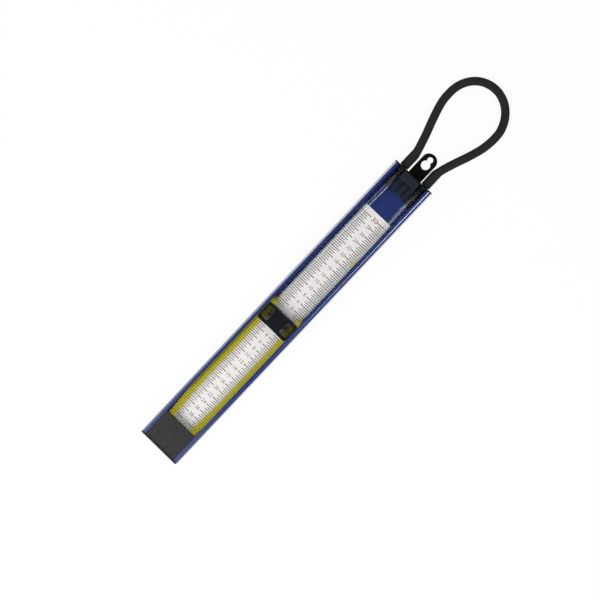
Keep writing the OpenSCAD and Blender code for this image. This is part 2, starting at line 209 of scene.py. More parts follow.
# hose: the route of the solid, port to port, as across, height over the end plate and share of the drop
hoseSet = {
    "diameter": 9.3, "bore": 5.5, "gripBore": 7.66, "gripDiameter": 10.72, "plateTop": 204.9,
    "portZ": 8.2, "lieZ": 4.85, "portX": 15.75, "stub": 17.0, "taper": 6.0, "sides": 40, "steps": 8,
    "loop": [
        (-18.4, 29.4, 0.22), (-22.4, 42.3, 0.55), (-27, 55.2, 0.85), (-31.2, 68.2, 1), (-33.1, 75.5, 1),
        (-34.3, 82, 1), (-34.7, 88.6, 1), (-34.3, 97.7, 1), (-31.8, 107, 1), (-26.8, 115.5, 1),
        (-19.4, 122.4, 1), (-9.9, 126.7, 1), (0.6, 127.9, 1), (10.9, 125.7, 1), (19.7, 120.8, 1),
        (26.7, 113.8, 1), (31.5, 105.8, 1), (34.3, 97.1, 1), (34.8, 88.2, 1), (34.4, 81.5, 1),
        (33.5, 75, 1), (31.9, 68, 1), (27.8, 55.2, 0.85), (22.9, 42.3, 0.55), (18.4, 29.4, 0.22)],
    "run": [(0, 0.3, 0), (0, 8.5, 0), (0, 17, 0), (0.9, 23, 0.08)],
    "dark": (0.017, 0.0168, 0.0158, 1), "pale": (0.027, 0.0266, 0.025, 1), "tone": (0.45, 0.35, 0.4),
    "lines": (1.0, 3), "lineStretch": (25, 34, 1), "cloud": (1.2, 2), "cloudStretch": (60, 1, 1),
    "dust": (260, 5, 0.65), "dustFrom": (0.5, 0.72), "grain": (3800, 2),
    "rough": 0.72, "roughBy": (0.12, 0.06), "relief": (0.6, 0.5, 0.3), "depth": (0.00012, 0.5), "gloss": 0.06}


def smoothLine(points, steps):  # a Catmull-Rom line through the points
    padded = [2 * points[0] - points[1], *points, 2 * points[-1] - points[-2]]
    line = []
    for a, b, c, d in zip(padded, padded[1:], padded[2:], padded[3:]):
        for i in range(steps):
            t = i / steps
            line.append(0.5 * (2 * b + (c - a) * t + (2 * a - 5 * b + 4 * c - d) * t * t
                               + (3 * b - a - 3 * c + d) * t ** 3))
    return line + [points[-1]]


def eased(t):
    t = max(0.0, min(1.0, t))
    return t * t * (3 - 2 * t)


def pipeMesh(name, line, outer, inner, sides, level=True, sharp=1.0):
    # rings round a line, outside and bore, with a UV map of length and turn; level rings lie square to y
    shell = bmesh.new()
    uv, skin = shell.loops.layers.uv.new("along"), shell.verts.layers.float.new("skin")
    run, stacks = [0.0], ([], [])
    for a, b in zip(line, line[1:]):
        run.append(run[-1] + (b - a).length)
    for i, p in enumerate(line):
        ahead = line[min(i + 1, len(line) - 1)] - line[max(i - 1, 0)]
        if level:
            ahead = yAxis if ahead.y > 0 else -yAxis
        side = ahead.cross(zAxis).normalized()
        over = side.cross(ahead).normalized()
        for stack, radius in zip(stacks, (outer[i], inner[i])):
            stack.append(ring(shell, p, radius, side, over, sides))
    for vert in (v for around in stacks[0] for v in around):
        vert[skin] = 1.0  # outside

    def face(verts, marks):
        made = shell.faces.new(verts)
        made.smooth = True
        for loop, mark in zip(made.loops, marks):
            loop[uv].uv = mark

    for s, stack in enumerate(stacks):
        for i in range(len(line) - 1):
            for k in range(sides):
                n = (k + 1) % sides
                quad = [stack[i][k], stack[i][n], stack[i + 1][n], stack[i + 1][k]]
                marks = [(run[i], k / sides), (run[i], (k + 1) / sides),
                         (run[i + 1], (k + 1) / sides), (run[i + 1], k / sides)]
                face(quad[::-1] if s else quad, marks[::-1] if s else marks)
    for i in (0, len(line) - 1):
        for k in range(sides):
            n = (k + 1) % sides
            quad = [stacks[0][i][k], stacks[1][i][k], stacks[1][i][n], stacks[0][i][n]]
            face(quad if i == 0 else quad[::-1], [(run[i], k / sides)] * 4)
    for edge in shell.edges:
        if len(edge.link_faces) == 2 and edge.calc_face_angle(0) > sharp:
            edge.smooth = False
    return finished(shell, name)


def rubber(w):  # dull black rubber, faint lines along it and a little dust
    s = hoseSet
    lines = speckle(w, spotOn(w, s["lineStretch"], "UV"), *s["lines"])
    cloud = speckle(w, spotOn(w, s["cloudStretch"], "UV"), *s["cloud"])
    dust = between(w, speckle(w, spotOn(w), *s["dust"]), *s["dustFrom"])
    grain = speckle(w, spotOn(w), *s["grain"])
    colour = tinted(w, mixed(s["tone"], cloud, lines, dust), s["dark"], s["pale"])
    return plastic(w, colour, s["rough"] + mixed(s["roughBy"], dust, lines),
                   raised(w, mixed(s["relief"], grain, lines, dust), *s["depth"]), s["gloss"])


def hoseSpot(across, rise, drop):  # a place on the hose's centre line, in metres
    s = hoseSet
    return Vector((across, s["plateTop"] + rise, s["portZ"] + drop * (s["lieZ"] - s["portZ"]))) * mm


def hoseRadius(slim, grip, share):  # wider where it grips a stub
    return (slim + share * (grip - slim)) * mm / 2


route = [(-hoseSet["portX"] - a, b, c) for a, b, c in hoseSet["run"]] + hoseSet["loop"]
route += [(hoseSet["portX"] + a, b, c) for a, b, c in reversed(hoseSet["run"])]
hoseLine = smoothLine([hoseSpot(*p) for p in route], hoseSet["steps"])
swell = [1 - eased((p.y / mm - hoseSet["plateTop"] - hoseSet["stub"]) / hoseSet["taper"]) for p in hoseLine]
hoseOuter = [hoseRadius(hoseSet["diameter"], hoseSet["gripDiameter"], share) for share in swell]
hoseInner = [hoseRadius(hoseSet["bore"], hoseSet["gripBore"], share) for share in swell]
hose = linked("hoseLoop", pipeMesh("hoseLoop", hoseLine, hoseOuter, hoseInner, hoseSet["sides"], False))
dress(hose, painted("hoseRubber", rubber))
settled(hose, "gauge_body", "hose_rubber", "hose")
hoseLength = sum((b - a).length for a, b in zip(hoseLine, hoseLine[1:]))
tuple(hoseLine[0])
print("hose made,", round(hoseLength, 4), "m")


# case: an extruded channel with a round rim along each front edge and a lower lip inside it
caseSet = {
    "wall": 2.0, "floor": 2.0, "backEdge": 1.2, "backSteps": 6, "arcSteps": 5,
    "rimOut": 2.05, "rimIn": 0.95, "rimDome": 1.0, "rimRise": 0.8, "rimTurns": range(-90, 76, 5),
    "lipUnder": 15.6, "lipEdge": 21.1, "lipRound": 0.1, "fillet": 0.5, "sharp": 32,
    "screwX": 5.0, "screwY": (-180.7, 198.4), "sinkWide": 5.4, "sinkNarrow": 2.8, "sinkRim": 0.3,
    "sinkDeep": 1.3, "sinkPast": 1.0, "sinkSides": 40,
    "deep": (0.0085, 0.021, 0.125, 1), "bright": (0.015, 0.034, 0.175, 1), "tone": (0.6, 0.25, 0.3),
    "lines": (1500, 3, 0.6), "lineStretch": (1, 0.01, 1), "cloud": (30, 2), "cloudStretch": (1, 0.4, 1),
    "marks": (520, 6, 0.7), "markStretch": (1, 0.3, 1), "markFrom": (0.56, 0.74), "grain": (5200, 2),
    # a painted reflection on the left rim: its pale colour, its place across and up, its rise along the case
    # and its strength
    "paintedRimReflection": (0.47, 0.465, 0.50, 1), "paintedRimReflectionX": (-0.0236, -0.0248), "paintedRimReflectionZ": (0.0155, 0.0165),
    "paintedRimReflectionUp": (-0.12, 0.14), "paintedRimReflectionBase": 0.25, "paintedRimReflectionBy": (0.4, 0.55),
    "rough": 0.15, "roughBy": (0.06, 0.04), "relief": (0.8, 0.15), "depth": (0.00002, 0.4), "gloss": 0.75,
    "wallX": (0.0246, 0.0244), "underZ": (0.0152, 0.0148), "noseX": (0.0216, 0.0213),
    "dullRough": 0.2, "dullGloss": 0.1}


def arc(cx, cz, r, first, last, count):
    turns = [math.radians(first + (last - first) * i / count) for i in range(count + 1)]
    return [(cx + r * math.cos(t), cz + r * math.sin(t)) for t in turns]


def caseProfile():
    s, high = caseSet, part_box("case")[1]
    x, z = high.x / mm, high.z / mm
    inner, under, f, r, steps = x - s["wall"], s["lipUnder"], s["fillet"], s["lipRound"], s["arcSteps"]
    crest, lipTop = x - s["rimOut"], z - s["rimRise"]
    right = arc(x - s["backEdge"], s["backEdge"], s["backEdge"], -90, 0, s["backSteps"])
    for t in (math.radians(a) for a in s["rimTurns"]):  # the rim, a low dome from wall to lip
        reach = s["rimOut"] if t < 0 else s["rimIn"]
        right.append((crest - reach * math.sin(t), z - s["rimDome"] * (1 - math.cos(t))))
    right.append((crest - s["rimIn"], lipTop))
    right += arc(s["lipEdge"] + r, lipTop - r, r, 90, 180, steps)
    right += arc(s["lipEdge"] + r, under + r, r, 180, 270, steps)
    right += arc(inner - f, under - f, f, 90, 0, steps)
    right += arc(inner - f, s["floor"] + f, f, 0, -90, steps)
    return right + [(-a, b) for a, b in reversed(right)]


def extruded(name, profile, low, high):
    shell = bmesh.new()
    rings = [[shell.verts.new((a * mm, y, b * mm)) for a, b in profile] for y in (low, high)]
    bridged(shell, rings)
    for end in rings:
        shell.faces.new(end)
    return finished(shell, name)


def sinkCutter(name):  # four countersunk holes, cut from the back
    s, shell = caseSet, bmesh.new()
    steps = [(s["sinkWide"], -s["sinkPast"]), (s["sinkWide"], s["sinkRim"]),
             (s["sinkNarrow"], s["sinkRim"] + s["sinkDeep"]), (s["sinkNarrow"], s["floor"] + s["sinkPast"])]
    for x in (-s["screwX"], s["screwX"]):
        for y in s["screwY"]:
            rings = [ring(shell, Vector((x, y, z)) * mm, d / 2 * mm, xAxis, yAxis, s["sinkSides"])
                     for d, z in steps]
            bridged(shell, rings, False)
            shell.faces.new(rings[0][::-1])
            shell.faces.new(rings[-1])
    return finished(shell, name)


def bluePlastic(w):  # glossy blue, die lines along the channel, light handling marks and a painted reflection on the left rim
    s = caseSet
    x, y, z = placeOn(w)
    lines = speckle(w, spotOn(w, s["lineStretch"]), *s["lines"])
    cloud = speckle(w, spotOn(w, s["cloudStretch"]), *s["cloud"])
    marks = between(w, speckle(w, spotOn(w, s["markStretch"]), *s["marks"]), *s["markFrom"])
    grain = speckle(w, spotOn(w), *s["grain"])
    paintedRimReflection = between(w, x, *s["paintedRimReflectionX"]) * between(w, z, *s["paintedRimReflectionZ"])  # painted reflection: the left rim's outer edge is painted pale in place of light from the left
    # the painted reflection is patchy and stronger towards the head end
    pale = s["paintedRimReflectionBase"] + mixed(s["paintedRimReflectionBy"], cloud, between(w, y, *s["paintedRimReflectionUp"]))
    colour = tinted(w, paintedRimReflection * pale, tinted(w, mixed(s["tone"], cloud, lines, marks), s["deep"], s["bright"]),
                    s["paintedRimReflection"])
    rough = s["rough"] + mixed(s["roughBy"], marks, lines)
    relief = raised(w, mixed(s["relief"], lines, grain), *s["depth"])
    aside = w.maths("ABSOLUTE", x, 0)
    inside = between(w, aside, *s["wallX"]) * between(w, z, *s["underZ"])
    # dull inside the channel, on the painted reflection along the left rim, and on the nose of the lips
    dull = w.maths("MAXIMUM", w.maths("MAXIMUM", inside, paintedRimReflection), between(w, aside, *s["noseX"]))
    return w.node("ShaderNodeMixShader", {}, {
        0: dull, 1: plastic(w, colour, rough, relief, s["gloss"]),
        2: plastic(w, colour, rough + s["dullRough"], relief, s["dullGloss"])})


caseLow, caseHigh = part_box("case")
caseShell = linked("caseShell", extruded("caseShell", caseProfile(), caseLow.y, caseHigh.y))
cutter = linked("sinkCutter", sinkCutter("sinkCutter"))
cut = caseShell.modifiers.new("screwHoles", "BOOLEAN")
cut.object, cut.solver = cutter, "EXACT"
baked(caseShell)
bpy.data.objects.remove(cutter)
caseShell.data.set_sharp_from_angle(angle=math.radians(caseSet["sharp"]))
dress(caseShell, painted("caseBlue", bluePlastic))
settled(caseShell, "gauge_body", "case_blue", "case")
print("case made")


# caps and cursor frame: the solids with their edges broken, as mouldings have them
capSet = {
    "edge": 0.35, "edgeSteps": 2, "edgeFrom": 40, "weld": 2e-6, "flat": 1, "evenWeight": 100,
    "grain": (3000, 4, 0.6), "pits": 2600, "cloud": (55, 3), "rub": (240, 5, 0.65), "rubFrom": (0.52, 0.7),
    "tone": (0.5, 0.25, 0.25), "roughBy": (0.08, -0.1), "relief": (1.0, 0.5), "strength": 0.55,
    "belowEdge": 0.0002, "belowBase": 0.7, "belowBy": 0.4,
    "finishes": {  # below: a second tone below a place along the case, which is painted light; on the top cap a painted bluish reflection of the channel on its part inside the case, on the foot cap a darker end plate outside the case, so that the block's lighter grey inside is a painted veil reflection
        "capBlack": {"dark": (0.0033, 0.0033, 0.0026, 1), "pale": (0.0066, 0.0066, 0.0054, 1), "rough": 0.45,
                     "depth": 0.00005, "gloss": 0.14, "below": ((0.0182, 0.021, 0.0355, 1), caseHigh.y)},
        "capGrey": {"dark": (0.012, 0.012, 0.013, 1), "pale": (0.022, 0.022, 0.023, 1), "rough": 0.34,
                    "depth": 0.00007, "gloss": 0.5, "below": ((0.004, 0.004, 0.0042, 1), caseLow.y)},
        "cursorBlack": {"dark": (0.0042, 0.0058, 0.0105, 1), "pale": (0.0087, 0.011, 0.0175, 1),
                        "rough": 0.22, "depth": 0.00003, "gloss": 0.45}}}


def softEdged(name, node):
    s, mesh = capSet, nodes[node].data.copy()
    if "custom_normal" in mesh.attributes:
        mesh.attributes.remove(mesh.attributes["custom_normal"])
    shell = bmesh.new()
    shell.from_mesh(mesh)
    bmesh.ops.remove_doubles(shell, verts=shell.verts, dist=s["weld"])
    bmesh.ops.dissolve_limit(shell, angle_limit=math.radians(s["flat"]), verts=shell.verts, edges=shell.edges)
    shell.to_mesh(mesh)
    shell.free()
    mesh.shade_smooth()
    piece = linked(name, mesh)
    broken = piece.modifiers.new("brokenEdge", "BEVEL")
    broken.width, broken.segments = s["edge"] * mm, s["edgeSteps"]
    broken.limit_method, broken.angle_limit = "ANGLE", math.radians(s["edgeFrom"])
    even = piece.modifiers.new("evenShade", "WEIGHTED_NORMAL")
    even.weight = s["evenWeight"]
    return baked(piece)


def moulded(finish):
    def recipe(w):  # spark-eroded grain, faint flow clouds, scuffed patches and, where given, a second tone below a place along the case, which paints a reflection
        s, own = capSet, capSet["finishes"][finish]
        grain = speckle(w, spotOn(w), *s["grain"])
        pits = w.node("ShaderNodeTexVoronoi", {}, {"Vector": spotOn(w), "Scale": s["pits"]}, out="Distance")
        cloud = speckle(w, spotOn(w), *s["cloud"])
        rub = between(w, speckle(w, spotOn(w), *s["rub"]), *s["rubFrom"])
        colour = tinted(w, mixed(s["tone"], cloud, grain, rub), own["dark"], own["pale"])
        # painted reflection: a second tone below a place along the case
        if "below" in own:
            tone, place = own["below"]
            below = between(w, placeOn(w)[1], place + s["belowEdge"], place)
            colour = tinted(w, below * (s["belowBase"] + s["belowBy"] * cloud), colour, tone)
        return plastic(w, colour, own["rough"] + mixed(s["roughBy"], grain, rub),
                       raised(w, mixed(s["relief"], grain, pits), own["depth"], s["strength"]), own["gloss"])
    return recipe


mouldings = {finish: painted(finish, moulded(finish)) for finish in capSet["finishes"]}
for name, node, finish, body, slot in (
        ("topCap", "top_cap", "capBlack", "gauge_body", "cap_black"),
        ("footCap", "bottom_cap", "capGrey", "gauge_body", "cap_grey"),
        ("cursorFrame", "cursor_frame", "cursorBlack", "zero_slide", "cursor_black")):
    moulding = softEdged(name, node)
    dress(moulding, mouldings[finish])
    settled(moulding, body, slot, node)
print("caps and cursor made")


# tubes: soft clear tube, leaning in at both ends on to its barbs
tubeSet = {
    "diameter": 8.0, "bore": 5.5, "legX": 18.1, "endX": 15.75, "barbTip": -178.1, "spigotTip": 173.9,
    "lean": 60.0, "z": 8.2, "sides": 48, "stations": 14,
    "glassIndex": 1.43, "coatIndex": 1.6, "coatRough": 0.25,
    "clear": (0.985, 0.99, 0.99, 1), "hazy": (0.95, 0.965, 0.97, 1), "haze": (240, 3),
    "hazeStretch": (1, 0.15, 1), "milk": (0.6, 0.66, 0.78, 1), "milkBase": 0.008, "milkBy": 0.016,
    "sheen": (0.02, 0.02, 0.02, 1), "cast": (0.9, 0.92, 0.91, 1), "wet": (0.95, 0.93, 0.62, 1),
    "wetFoot": (0.089, 0.091), "wetHead": (0.096, 0.102), "rag": (420, 2), "ragReach": 0.006}


def legX(y):
    s = tubeSet
    lean = min(eased((y - s["barbTip"]) / s["lean"]), eased((s["spigotTip"] - y) / s["lean"]))
    return s["endX"] + (s["legX"] - s["endX"]) * lean


def legSpot(side, y):  # a place on a tube's centre line, in metres
    return Vector((side * legX(y), y, tubeSet["z"])) * mm


def legStations(low, high):
    s = tubeSet
    marks = {low, high}
    for i in range(s["stations"] + 1):
        marks.add(s["barbTip"] + s["lean"] * i / s["stations"])
        marks.add(s["spigotTip"] - s["lean"] * i / s["stations"])
    return sorted(m for m in marks if low <= m <= high)


def straight(w, surface, cast):  # lights and bounced light pass straight through, tinted
    rays = w.node("ShaderNodeLightPath")
    passing = w.maths("MAXIMUM", rays.also("Is Shadow Ray"), rays.also("Is Diffuse Ray"))
    through = w.node("ShaderNodeBsdfTransparent", {}, {"Color": cast})
    return w.node("ShaderNodeMixShader", {}, {0: passing, 1: surface, 2: through})


def clearTube(wetSide):
    def recipe(w):  # clear soft plastic, a little hazy, with a ragged wet patch on the wet side
        s = tubeSet
        haze = speckle(w, spotOn(w, s["hazeStretch"]), *s["haze"])
        reach = placeOn(w)[1] + s["ragReach"] * speckle(w, spotOn(w), *s["rag"])
        wet = between(w, reach, *s["wetFoot"]) * (1 - between(w, reach, *s["wetHead"]))
        colour = tinted(w, wet * wetSide, tinted(w, haze, s["clear"], s["hazy"]), s["wet"])
        skin = w.node("ShaderNodeAttribute", {"attribute_name": "skin"}, out="Fac") * (
            1 - w.node("ShaderNodeNewGeometry", out="Backfacing"))
        glass = w.node("ShaderNodeBsdfPrincipled", {}, {
            "Base Color": colour, "Roughness": 0.0, "Transmission Weight": 1.0, "IOR": s["glassIndex"],
            "Specular Tint": s["sheen"], "Coat Weight": skin, "Coat Roughness": s["coatRough"],
            "Coat IOR": s["coatIndex"]})
        milk = w.node("ShaderNodeBsdfDiffuse", {}, {"Color": s["milk"]})
        glass = w.node("ShaderNodeMixShader", {}, {0: s["milkBase"] + s["milkBy"] * haze, 1: glass, 2: milk})
        return straight(w, glass, s["cast"])
    return recipe


tubes = []
for side, label, wetSide in ((-1, "left", 0.0), (1, "right", 1.0)):
    low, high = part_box(label + "_tube")
    line = [legSpot(side, y) for y in legStations(low.y / mm, high.y / mm)]
    outside, inside = ([tubeSet[size] * mm / 2] * len(line) for size in ("diameter", "bore"))
    tube = linked(label + "Tube", pipeMesh(label + "Tube", line, outside, inside, tubeSet["sides"]))
    dress(tube, painted(label + "ClearTube", clearTube(wetSide)))
    settled(tube, "gauge_body", "clear_tube", label + "_tube")
    tubes.append(tube)
print("tubes made")


# liquid: fills the bore, so it is drawn just over the bore's size, with a tongue along the tube's lower side
liquidSet = {
    "radius": 2.77, "level": 5.4, "tongue": 4.3, "foot": -177.8, "stretchFrom": -142.0,
    "dish": 0.5, "dishReach": 0.55, "dishSink": 0.35, "dishThin": 0.5,
    "plainTo": 6, "fade": ((4, 0), (2, 0.3), (0, 1)), "thinGain": 2,  # fade: depth under the level, thinness
    "deep": (0.65, 0.58, 0.05, 1), "bright": (0.70, 0.635, 0.085, 1), "cloud": (90, 2),
    # glow: a painted glow, the liquid's emission colour, which fades out in its tongue
    "cloudStretch": (1, 0.2, 1), "film": (0.97, 0.965, 0.88, 1), "glow": (1.0, 0.9, 0.05, 1),
    "noPaintedGlow": (0, 0, 0, 1), "paintedGlowStrength": 0.11, "cast": (0.92, 0.88, 0.45, 1), "waterIndex": 1.33}


def liquidMesh(name, side):
    s, sides = liquidSet, tubeSet["sides"]
    stations = [(y, 0) for y in legStations(s["foot"], s["level"] - s["plainTo"])]
    stations += [(s["level"] - depth, thinness) for depth, thinness in s["fade"]]
    shell, rings = bmesh.new(), []
    thin = shell.verts.layers.float.new("thin")
    for y, thinness in stations:
        made = ring(shell, legSpot(side, y), s["radius"] * mm, xAxis, zAxis, sides)
        for k, vert in enumerate(made):
            reach = 0.5 - 0.5 * math.sin(2 * math.pi * k / sides)  # 1 on the lower side, 0 on the upper
            if y == s["level"]:
                vert.co.y += s["tongue"] * reach * mm
            vert[thin] = reach * thinness
        rings.append(made)
    middle = legSpot(side, s["level"]) + yAxis * (s["tongue"] / 2 - s["dish"]) * mm
    dish = []
    for vert in rings[-1]:
        spot = middle.lerp(vert.co, s["dishReach"]) - yAxis * s["dishSink"] * s["dish"] * mm
        made = shell.verts.new(spot)
        made[thin] = s["dishThin"] * vert[thin]
        dish.append(made)
    bridged(shell, rings + [dish])
    shell.faces.new(rings[0])
    shell.faces.new(dish).smooth = True
    return finished(shell, name)


def yellowWater(w):  # dyed water with a painted glow, an emission that stands in for light through it, thinner and paler in its tongue
    s = liquidSet
    thin = w.node("ShaderNodeAttribute", {"attribute_name": "thin"}, out="Fac")
    thin = w.maths("MINIMUM", s["thinGain"] * thin, 1)
    cloud = speckle(w, spotOn(w, s["cloudStretch"]), *s["cloud"])
    colour = tinted(w, thin, tinted(w, cloud, s["deep"], s["bright"]), s["film"])
    water = w.node("ShaderNodeBsdfPrincipled", {}, {
        "Base Color": colour, "Roughness": 0.0, "Transmission Weight": 1.0, "IOR": s["waterIndex"],
        # painted glow: the liquid emits a little light of its own
        "Specular Tint": tubeSet["sheen"], "Emission Color": tinted(w, thin, s["glow"], s["noPaintedGlow"]),
        "Emission Strength": s["paintedGlowStrength"]})
    film = w.node("ShaderNodeBsdfTransparent", {}, {"Color": s["film"]})
    return straight(w, w.node("ShaderNodeMixShader", {}, {0: thin, 1: water, 2: film}), s["cast"])


gaugeLiquid = painted("gaugeLiquid", yellowWater)
for side, label in ((-1, "left"), (1, "right")):
    liquid = linked(label + "Liquid", liquidMesh(label + "Liquid", side))
    dress(liquid, gaugeLiquid)
    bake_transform(liquid)
    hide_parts(label + "_liquid")
print("liquid made")


# card print: three rows of marks, half, one and two units apart, and the numbers
scaleSet = {
    "unit": 5.1, "span": 30, "print": 0.03, "outer": 18.7, "halfInner": 8.0, "oneInner": 6.2, "twoInner": 4.2,
    "halfWeight": 0.75, "oneWeight": 0.8, "twoWeight": 0.95, "digits": 4.0, "endDigits": 5.6, "numberGap": 2,
    "drift": 1.3, "curveSteps": 3, "weld": 1e-7}
inkSet = {
    "red": (0.14, 0.026, 0.03, 1), "redPale": (0.25, 0.08, 0.08, 1), "number": (0.22, 0.05, 0.05, 1),
    "numberPale": (0.34, 0.12, 0.12, 1), "grey": (0.06, 0.05, 0.052, 1), "greyPale": (0.14, 0.12, 0.12, 1),
    # a painted veil reflection on the print near the foot end: its pale colour, its edge, and its share by
    # base and cloud
    "paintedVeil": (0.58, 0.52, 0.38, 1), "paintedVeilEdge": 0.001, "paintedVeilBase": 0.7, "paintedVeilBy": 0.4,
    "patch": (900, 3, 0.6), "cloud": (60, 2), "tone": (0.5, 0.4), "rough": 0.5, "roughBy": 0.2,
    "depth": (0.00002, 0.4), "gloss": 0.4}
cardSet = {
    "dark": (0.79, 0.78, 0.76, 1), "pale": (0.85, 0.84, 0.825, 1), "cloud": (45, 3), "grain": (4200, 3),
    "tone": (0.7, 0.3), "rough": 0.42, "roughBy": 0.12, "depth": (0.00003, 0.4), "gloss": 0.4}


def tickTree():
    tree = bpy.data.node_groups.new("tickRow", "GeometryNodeTree")
    tree.interface.new_socket("Marks", in_out="OUTPUT", socket_type="NodeSocketGeometry")
    for label, kind in (("Count", "Int"), ("First", "Float"), ("Step", "Float"), ("Inner", "Float"),
                        ("Outer", "Float"), ("Weight", "Float"), ("Print", "Float"), ("Base", "Float"),
                        ("Ink", "Material")):
        tree.interface.new_socket(label, in_out="INPUT", socket_type="NodeSocket" + kind)
    w = Wire(tree)

    def given(label):
        return w.node("NodeGroupInput", out=label)

    def vector(x, y, z):
        return w.node("ShaderNodeCombineXYZ", {}, {0: x, 1: y, 2: z})

    middle = (given("Inner") + given("Outer")) * 0.5
    lift = given("Base") + given("Print") * 0.5
    mark = w.node("GeometryNodeMeshCube", {}, {
        "Size": vector(given("Outer") - given("Inner"), given("Weight"), given("Print"))})
    pair = w.node("GeometryNodeJoinGeometry")
    for place in (middle, 0 - middle):
        moved = w.node("GeometryNodeTransform", {}, {
            "Geometry": mark, "Translation": vector(place, 0.0, 0.0)})
        tree.links.new(moved.socket, pair.socket.node.inputs[0])
    row = w.node("GeometryNodeMeshLine", {}, {
        "Count": given("Count"), "Start Location": vector(0.0, given("First"), lift),
        "Offset": vector(0.0, given("Step"), 0.0)})
    placed = w.node("GeometryNodeInstanceOnPoints", {}, {"Points": row, "Instance": pair})
    solid = w.node("GeometryNodeRealizeInstances", {}, {"Geometry": placed})
    inked = w.node("GeometryNodeSetMaterial", {}, {"Geometry": solid, "Material": given("Ink")})
    w.node("NodeGroupOutput", {}, {"Marks": inked})
    return tree


tickRow = tickTree()


def ticks(name, ink, base, **sizes):
    piece = linked(name, bpy.data.meshes.new(name))
    maker = piece.modifiers.new("tickRow", "NODES")
    maker.node_group = tickRow
    values = {"Ink": ink, "Base": base, "Print": scaleSet["print"] * mm, **sizes}
    for item in tickRow.interface.items_tree:
        if item.in_out == "INPUT":
            maker[item.identifier] = values[item.name]
    return baked(piece)


def printed(tone, paintedVeilFrom=None):
    def recipe(w):  # screen print, a little uneven, and painted pale below a place along the card, a painted veil reflection
        s = inkSet
        patch = speckle(w, spotOn(w), *s["patch"])
        cloud = speckle(w, spotOn(w), *s["cloud"])
        colour = tinted(w, mixed(s["tone"], patch, cloud), s[tone], s[tone + "Pale"])
        if paintedVeilFrom:
            paintedVeil = between(w, placeOn(w)[1], paintedVeilFrom + s["paintedVeilEdge"], paintedVeilFrom)
            colour = tinted(w, paintedVeil * (s["paintedVeilBase"] + s["paintedVeilBy"] * cloud), colour, s["paintedVeil"])
        return plastic(w, colour, s["rough"] + s["roughBy"] * patch, raised(w, patch, *s["depth"]),
                       s["gloss"])
    return recipe


def cardWhite(w):  # white plastic card, faintly yellowed
    s = cardSet
    cloud = speckle(w, spotOn(w), *s["cloud"])
    grain = speckle(w, spotOn(w), *s["grain"])
    return plastic(w, tinted(w, mixed(s["tone"], cloud, grain), s["dark"], s["pale"]),
                   s["rough"] + s["roughBy"] * grain, raised(w, grain, *s["depth"]), s["gloss"])


def numberMesh(name, places):
    shell, thick = bmesh.new(), scaleSet["print"] * mm
    for label, height, y in places:
        words = bpy.data.curves.new("digits", "FONT")
        words.body, words.size, words.extrude = label, height * mm, thick / 2
        words.resolution_u = scaleSet["curveSteps"]
        holder = linked("digits", words)
        mesh = evaluated(holder)
        bpy.data.objects.remove(holder)
        xs, ys = [v.co.x for v in mesh.vertices], [v.co.y for v in mesh.vertices]
        grow = height * mm / (max(ys) - min(ys))
        share = 0.5 + (y - zeroY) / (2 * span * unit)
        drift = scaleSet["drift"] * mm * share  # printed a little out of line
        for v in mesh.vertices:
            v.co.x = (v.co.x - (min(xs) + max(xs)) / 2) * grow + drift
            v.co.y = (v.co.y - (min(ys) + max(ys)) / 2) * grow + y
            v.co.z += cardTop + thick / 2
        shell.from_mesh(mesh)
        bpy.data.meshes.remove(mesh)
    bmesh.ops.remove_doubles(shell, verts=shell.verts, dist=scaleSet["weld"])
    return finished(shell, name)


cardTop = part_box("scale_card")[1].z
zeroY = (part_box("cursor_frame")[0].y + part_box("cursor_frame")[1].y) / 2
redInk, greyInk = painted("redInk", printed("red")), painted("greyInk", printed("grey"))
unit, span, outer = scaleSet["unit"] * mm, scaleSet["span"], scaleSet["outer"] * mm
for kind, ink, first, step in (("half", greyInk, 0.5, 1), ("one", greyInk, 1, 2), ("two", redInk, 0, 2)):
    count = int((2 * span - 2 * first) / step) + 1  # first and step in units, from the card's lower end
    row = ticks(kind + "Marks", ink, cardTop, Count=count, First=zeroY + (first - span) * unit,
                Step=step * unit, Inner=scaleSet[kind + "Inner"] * mm, Outer=outer,
                Weight=scaleSet[kind + "Weight"] * mm)
    settled(row, "zero_slide", "card_white")
places = [(str(n), scaleSet["endDigits" if n == span else "digits"], zeroY + s * n * unit)
          for n in range(scaleSet["numberGap"], span + 1, scaleSet["numberGap"]) for s in (-1, 1)]
numbers = linked("scaleNumbers", numberMesh("scaleNumbers", places))
# the lowest number gets the painted veil reflection
dress(numbers, painted("numberInk", printed("number", zeroY - (span - 1) * unit)))
settled(numbers, "zero_slide", "card_white")
dress(nodes["scale_card"], painted("cardWhite", cardWhite))
print("scale printed")


# cursor windows: smoked clear plastic with the zero line across each
windowSet = {
    "line": 0.7, "lineInner": 8.3, "lineOuter": 19.0,
    "tint": (0.56, 0.56, 0.53, 1), "smoke": (0.02, 0.02, 0.019, 1),
    "haze": (160, 4), "marks": (700, 5, 0.7), "markStretch": (1, 0.3, 1), "markFrom": (0.58, 0.72),
    "rough": 0.1, "roughBy": 0.25, "depth": (0.00003, 0.4), "gloss": 0.5, "veil": 0.08, "veilBy": (0.06, 0.1)}


def smoked(w):
    s = windowSet
    haze = speckle(w, spotOn(w), *s["haze"])
    marks = between(w, speckle(w, spotOn(w, s["markStretch"]), *s["marks"]), *s["markFrom"])
    clear = w.node("ShaderNodeBsdfTransparent", {}, {"Color": s["tint"]})
    face = plastic(w, s["smoke"], s["rough"] + s["roughBy"] * marks, raised(w, haze, *s["depth"]), s["gloss"])
    veil = s["veil"] + mixed(s["veilBy"], haze, marks)
    return w.node("ShaderNodeMixShader", {}, {0: veil, 1: clear, 2: face})


smokedWindow = painted("smokedWindow", smoked)
for label in ("left_window", "right_window"):
    dress(nodes[label], smokedWindow)
zeroLines = ticks("zeroLines", mouldings["cursorBlack"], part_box("left_window")[1].z, Count=1, First=zeroY,
                  Step=1.0, Inner=windowSet["lineInner"] * mm, Outer=windowSet["lineOuter"] * mm,
                  Weight=windowSet["line"] * mm)
settled(zeroLines, "zero_slide", "cursor_black")
print("cursor glazed")


